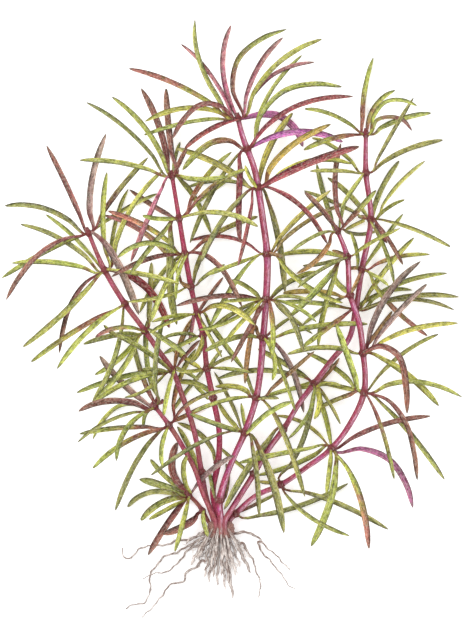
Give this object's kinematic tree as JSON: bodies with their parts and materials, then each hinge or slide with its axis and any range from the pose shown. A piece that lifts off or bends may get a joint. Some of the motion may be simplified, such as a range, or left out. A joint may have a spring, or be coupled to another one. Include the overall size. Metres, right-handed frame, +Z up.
{
  "type": "aquarium stem plant",
  "caption": "Bunch of slender crimson stems ringed with whorls of long narrow green and maroon leaves, lying on its back with its pale roots.",
  "frame": {"origin": "centre of the bounding box at its base, on the surface the plant lies on", "axes": "+Y along the stems from the roots to the growing tips, +Z up from the surface towards the viewer, +X to the viewer's right"},
  "size_m": [0.2766, 0.3602, 0.0577],
  "materials": {
    "leaf_green": "matte, fresh leaf",
    "leaf_maroon": "matte, fresh leaf",
    "stem": "smooth, slightly waxy fresh stem",
    "root": "matte, fine pale roots",
    "crown": "matte, fibrous root crown"
  },
  "bodies": {
    "root": {"leaf_far_left_6": "leaf_green", "leaf_left_9": "leaf_green", "leaf_right_7": "leaf_green", "leaf_right_8": "leaf_green", "leaves_base_front": "leaf_green", "leaves_base_left": "leaf_maroon", "leaves_far_left_1": "leaf_maroon", "leaves_far_left_2": "leaf_green", "leaves_far_left_3": "leaf_green", "leaves_far_left_4": "leaf_green", "leaves_far_left_5": "leaf_green", "leaves_left_1": "leaf_maroon", "leaves_left_2": "leaf_maroon", "leaves_left_3": "leaf_green", "leaves_left_4": "leaf_green", "leaves_left_5": "leaf_green", "leaves_left_6": "leaf_green", "leaves_left_7": "leaf_green", "leaves_left_8": "leaf_green", "leaves_low_left_1": "leaf_maroon", "leaves_low_left_2": "leaf_maroon", "leaves_low_right_1": "leaf_green", "leaves_low_right_2": "leaf_green", "leaves_low_right_3": "leaf_green", "leaves_low_right_4": "leaf_maroon", "leaves_low_right_5": "leaf_green", "leaves_low_right_6": "leaf_green", "leaves_low_right_7": "leaf_green", "leaves_low_right_8": "leaf_green", "leaves_right_1": "leaf_maroon", "leaves_right_2": "leaf_green", "leaves_right_3": "leaf_green", "leaves_right_4": "leaf_green", "leaves_right_5": "leaf_green", "leaves_right_6": "leaf_green", "leaves_side_shoot": "leaf_green", "leaves_tall_1": "leaf_maroon", "leaves_tall_2": "leaf_green", "leaves_tall_3": "leaf_green", "leaves_tall_4": "leaf_green", "leaves_tall_5": "leaf_green", "leaves_tall_6": "leaf_green", "leaves_tall_7": "leaf_green", "leaves_tall_8": "leaf_green", "root_crown": "crown", "root_left_1": "root", "root_left_2": "root", "root_left_3": "root", "root_left_4": "root", "root_right_1": "root", "root_right_2": "root", "root_right_3": "root", "side_shoot": "stem", "stem_far_left": "stem", "stem_left": "stem", "stem_low_left": "stem", "stem_low_right": "stem", "stem_right": "stem", "stem_tall": "stem"}
  },
  "joints": []
}
